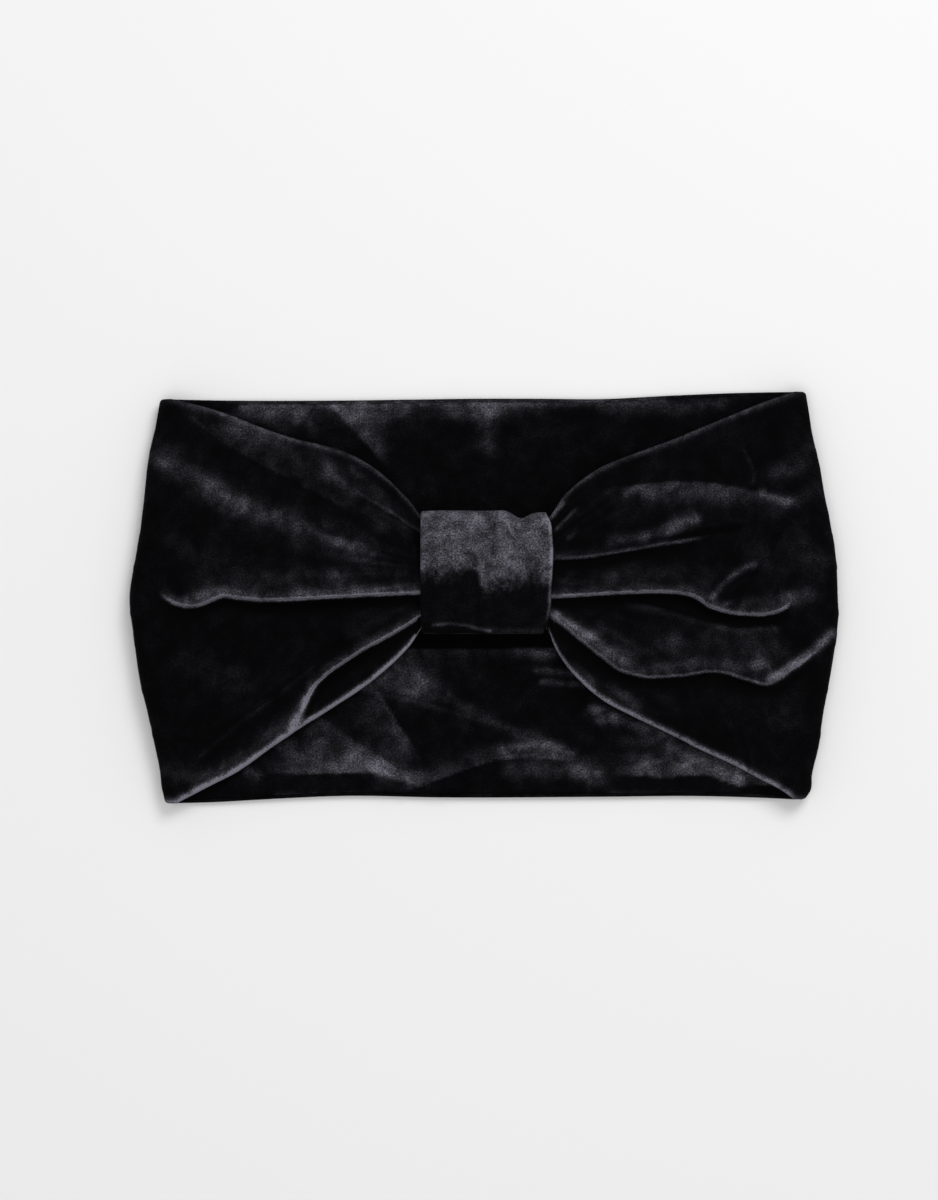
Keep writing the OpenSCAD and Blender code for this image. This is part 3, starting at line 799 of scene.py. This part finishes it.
# The knot's ends in plan, how far each lies from the middle at y.
wrap_left = [(-13, 20.6), (-8, 21.1), (0, 21.3), (29, 21.3)]
wrap_right = [(-13, 20.3), (-10, 20.8), (-6, 22.2), (3, 22.9), (19, 23.3), (26, 22.5), (29.3, 21.4)]
wrap_crease = [(-22, -9), (-19, -9), (-11, -8.4), (-5, -9.2), (-2, -10.2), (2, -11.3), (11, -10.9),
               (23, -11.7)]


def loop_section(a, half_w, half_h, r):
    """A rounded rectangle by its share a of the way round, from under its middle, and its outward
    direction: straight stretches and quarter circles, laid end to end."""
    w, h = half_w - r, half_h - r
    arc = np.pi * r / 2
    stops = np.cumsum([0, w, arc, 2 * h, arc, 2 * w, arc, 2 * h, arc, w])
    s = (a % 1.0) * stops[-1]
    angle = np.radians(np.interp(s, stops, [0, 0, 90, 90, 180, 180, 270, 270, 360, 360]))
    flat_y = np.interp(s, stops, [0, w, w, w, w, -w, -w, -w, -w, 0])
    flat_z = np.interp(s, stops, [-h, -h, -h, h, h, h, h, -h, -h, -h])
    return flat_y + r * np.sin(angle), flat_z - r * np.cos(angle), np.sin(angle), -np.cos(angle)


def wrap_layer(inset, rim, rows, across):
    """Points of a layer of the knot loop: its section carried along X, inset from the outer face,
    with its ends turned in by quarter circles of radius rim. swell is how far it stands out: in a
    dent of its upper edge, ridges that run down from there, and a crease along its lower edge."""
    a = np.linspace(0, 1, across)[None, :]
    turn = np.radians(np.linspace(90, 0, 7))[:-1]
    half_x = wrap_half_x - inset
    flat_x = half_x - rim
    flat = np.linspace(-flat_x, flat_x, rows)
    x = np.concatenate([-flat_x - rim * np.sin(turn), flat, flat_x + rim * np.sin(turn[::-1])])
    tuck = np.concatenate([rim * (1 - np.cos(turn)), 0 * flat, rim * (1 - np.cos(turn[::-1]))])
    x, tuck = x[:, None], tuck[:, None]
    y, z, ny, nz = loop_section(a, wrap_half_y - inset, wrap_half_z - inset, corner_r - inset)
    world_y = wrap_mid_y + y
    top, upper = ease(nz * 2), ease(ny * 1.4)
    swell = 0.35 * (1 - (x / half_x) ** 2) * ease((nz + 1) / 2) - tuck
    dent = 2.2 * bell((x - 12.8) / 3.4) + 0.4 * ease((x - 9) / 6)
    swell = swell - upper * ease(1.2 + nz) * dent
    ridge = [(6.5, 29), (9.4, 22), (9.6, 17), (7, 12), (4, 4)]
    swell = swell + top * 0.45 * near(x, world_y, ridge, 1.8)
    swell = swell - top * 0.5 * near(x, world_y, [(3.6, 28), (3.6, 20), (2.6, 13)], 1.2)
    swell = swell - top * 0.4 * near(x, world_y, [(-3, 12), (-3.4, 0), (-2, -8)], 1.5)
    swell = swell + top * (0.3 * bell((x + 14) / 5) - 0.2 * bell((x + 6) / 3))
    below_crease = beside(x, world_y, wrap_crease[::-1], 30)
    swell = swell - below_crease * ease((1 - ny) / 2) * (nz > -0.5)
    swell = swell + 0.25 * near(x, world_y, [(p, q + 1.2) for p, q in wrap_crease], 1.2) * top
    swell = swell + 0.2 * crumple(x, y + 3 * z, 9, 50) * (1 - (x / half_x) ** 4)
    side_x = np.where(x < 0, line(wrap_left, world_y), line(wrap_right, world_y)) - inset
    points = [x / half_x * side_x, world_y + swell * ny, wrap_mid_z + z + swell * nz]
    return np.stack(points, axis=-1)


# Painted light on its face: lit above this line, painted shade below it, with a tongue near the
# middle.
wrap_shade = [(-22, 8), (-14, 8.5), (-8, 9), (-4, 11.5), (-2.2, 9), (-0.5, 3.5), (2, 3), (5, 5),
              (9, 5.5), (14, 6.5), (23, 7)]
grid = wrap_layer(inset=0.0, rim=1.0, rows=110, across=380)
x, y = grid[..., 0], grid[..., 1]
# painted light on the top half above the line, painted shade below it
top = ease((grid[..., 2] - wrap_mid_z) / 3)
above = y - line(wrap_shade, x) + 1.4 * crumple(x, y, 2.6, 61) + 1.6 * crumple(x, y, 1.0, 63)
lit = ease(above / 8.5 + 0.5)
pile_tone_and_painted_light = 0.11 + top * lit * (0.46 + 0.04 * crumple(x, y, 5, 62) + 0.06 * ease((y - 18) / 9))
# painted highlight on the ridge, and painted shade in the dent beside it
pile_tone_and_painted_light = pile_tone_and_painted_light + top * 0.14 * near(x, y, [(7, 27), (9.5, 22), (9.6, 17), (7, 12)], 1.2)
pile_tone_and_painted_light = pile_tone_and_painted_light - top * 0.16 * near(x, y, [(3.7, 27), (3.6, 20), (3, 15)], 0.9)
# painted highlights along the crease and down the right end
crease_edge = [(-17, -9.2), (-11, -8.6), (-5, -9.4), (-2, -10.3), (2, -11.2)]
pile_tone_and_painted_light = pile_tone_and_painted_light + top * 0.4 * near(x, y, crease_edge, 0.6)
pile_tone_and_painted_light = pile_tone_and_painted_light + top * 0.22 * near(x, y, [(2, -11.3), (11, -11), (20, -11.8)], 1.2)
pile_tone_and_painted_light = pile_tone_and_painted_light + 0.45 * ease((y + 9) / 5) * bell((x - line(wrap_right, y) + 0.5) / 0.6)
wrap_outer = cloth_mesh("knot_velvet_outer_side", grid, pile_tone_and_painted_light, -1)
grid = wrap_layer(inset=2.0, rim=0.3, rows=48, across=160)
wrap_inner = cloth_mesh("knot_velvet_inner_side", grid, np.full(grid.shape[:2], 0.1), 1)
for piece, part, slot in (
    (wrap_outer, "knot_wrap_outer", "velvet_outside"),
    (wrap_inner, "knot_wrap_inner", "velvet_head_side"),
):
    piece.data.materials.append(velvet)
    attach(piece, "knot")
    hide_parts(part)

# ---------------------------------------------------------------- thread
# The rest of the spun black polyester thread: the turned seams and the closing seam of the back
# half, the gathering thread, and the seam and the hand tacks of the knot loop. None of it shows.
for part in ("back_edge_seams", "closing_seam", "gather_thread", "knot_seam", "knot_tacks"):
    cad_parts[part].data.materials.clear()
    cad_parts[part].data.materials.append(thread)

# ---------------------------------------------------------------- table and light
# A pale matt table under soft studio light from above and from the upper right. Paper board has
# an even white with no highlight of its own.
table_mesh = bpy.data.meshes.new("table")
corners = [(-3, -3, -0.0002), (3, -3, -0.0002), (3, 3, -0.0002), (-3, 3, -0.0002)]
table_mesh.from_pydata(corners, [], [(0, 1, 2, 3)])
table = bpy.data.objects.new("table", table_mesh)
bpy.context.scene.collection.objects.link(table)
paper = bpy.data.materials.new("white paper board, matt")
paper.use_nodes = True
paper_inputs = paper.node_tree.nodes["Principled BSDF"].inputs
paper_inputs["Base Color"].default_value = linear("#f6f6f6")
paper_inputs["Roughness"].default_value = 1.0
paper_inputs["Specular IOR Level"].default_value = 0.0
table_mesh.materials.append(paper)

world = bpy.data.worlds.new("studio")
world.use_nodes = True
sky = world.node_tree.nodes["Background"].inputs
sky["Color"].default_value = (1, 1, 1, 1)
sky["Strength"].default_value = 0.46
bpy.context.scene.world = world
for name, place, size, power in (
    ("key", (0.5, 0.9, 1.2), 0.7, 11.0),
    ("top", (-0.2, -0.4, 1.8), 1.2, 7.5),
):
    lamp_data = bpy.data.lights.new(name, "AREA")
    lamp_data.size = size
    lamp_data.energy = power
    lamp = bpy.data.objects.new(name, lamp_data)
    lamp.location = place
    lamp.rotation_euler = Vector(place).to_track_quat("Z", "Y").to_euler()
    bpy.context.scene.collection.objects.link(lamp)
bpy.context.scene.view_settings.view_transform = "Standard"
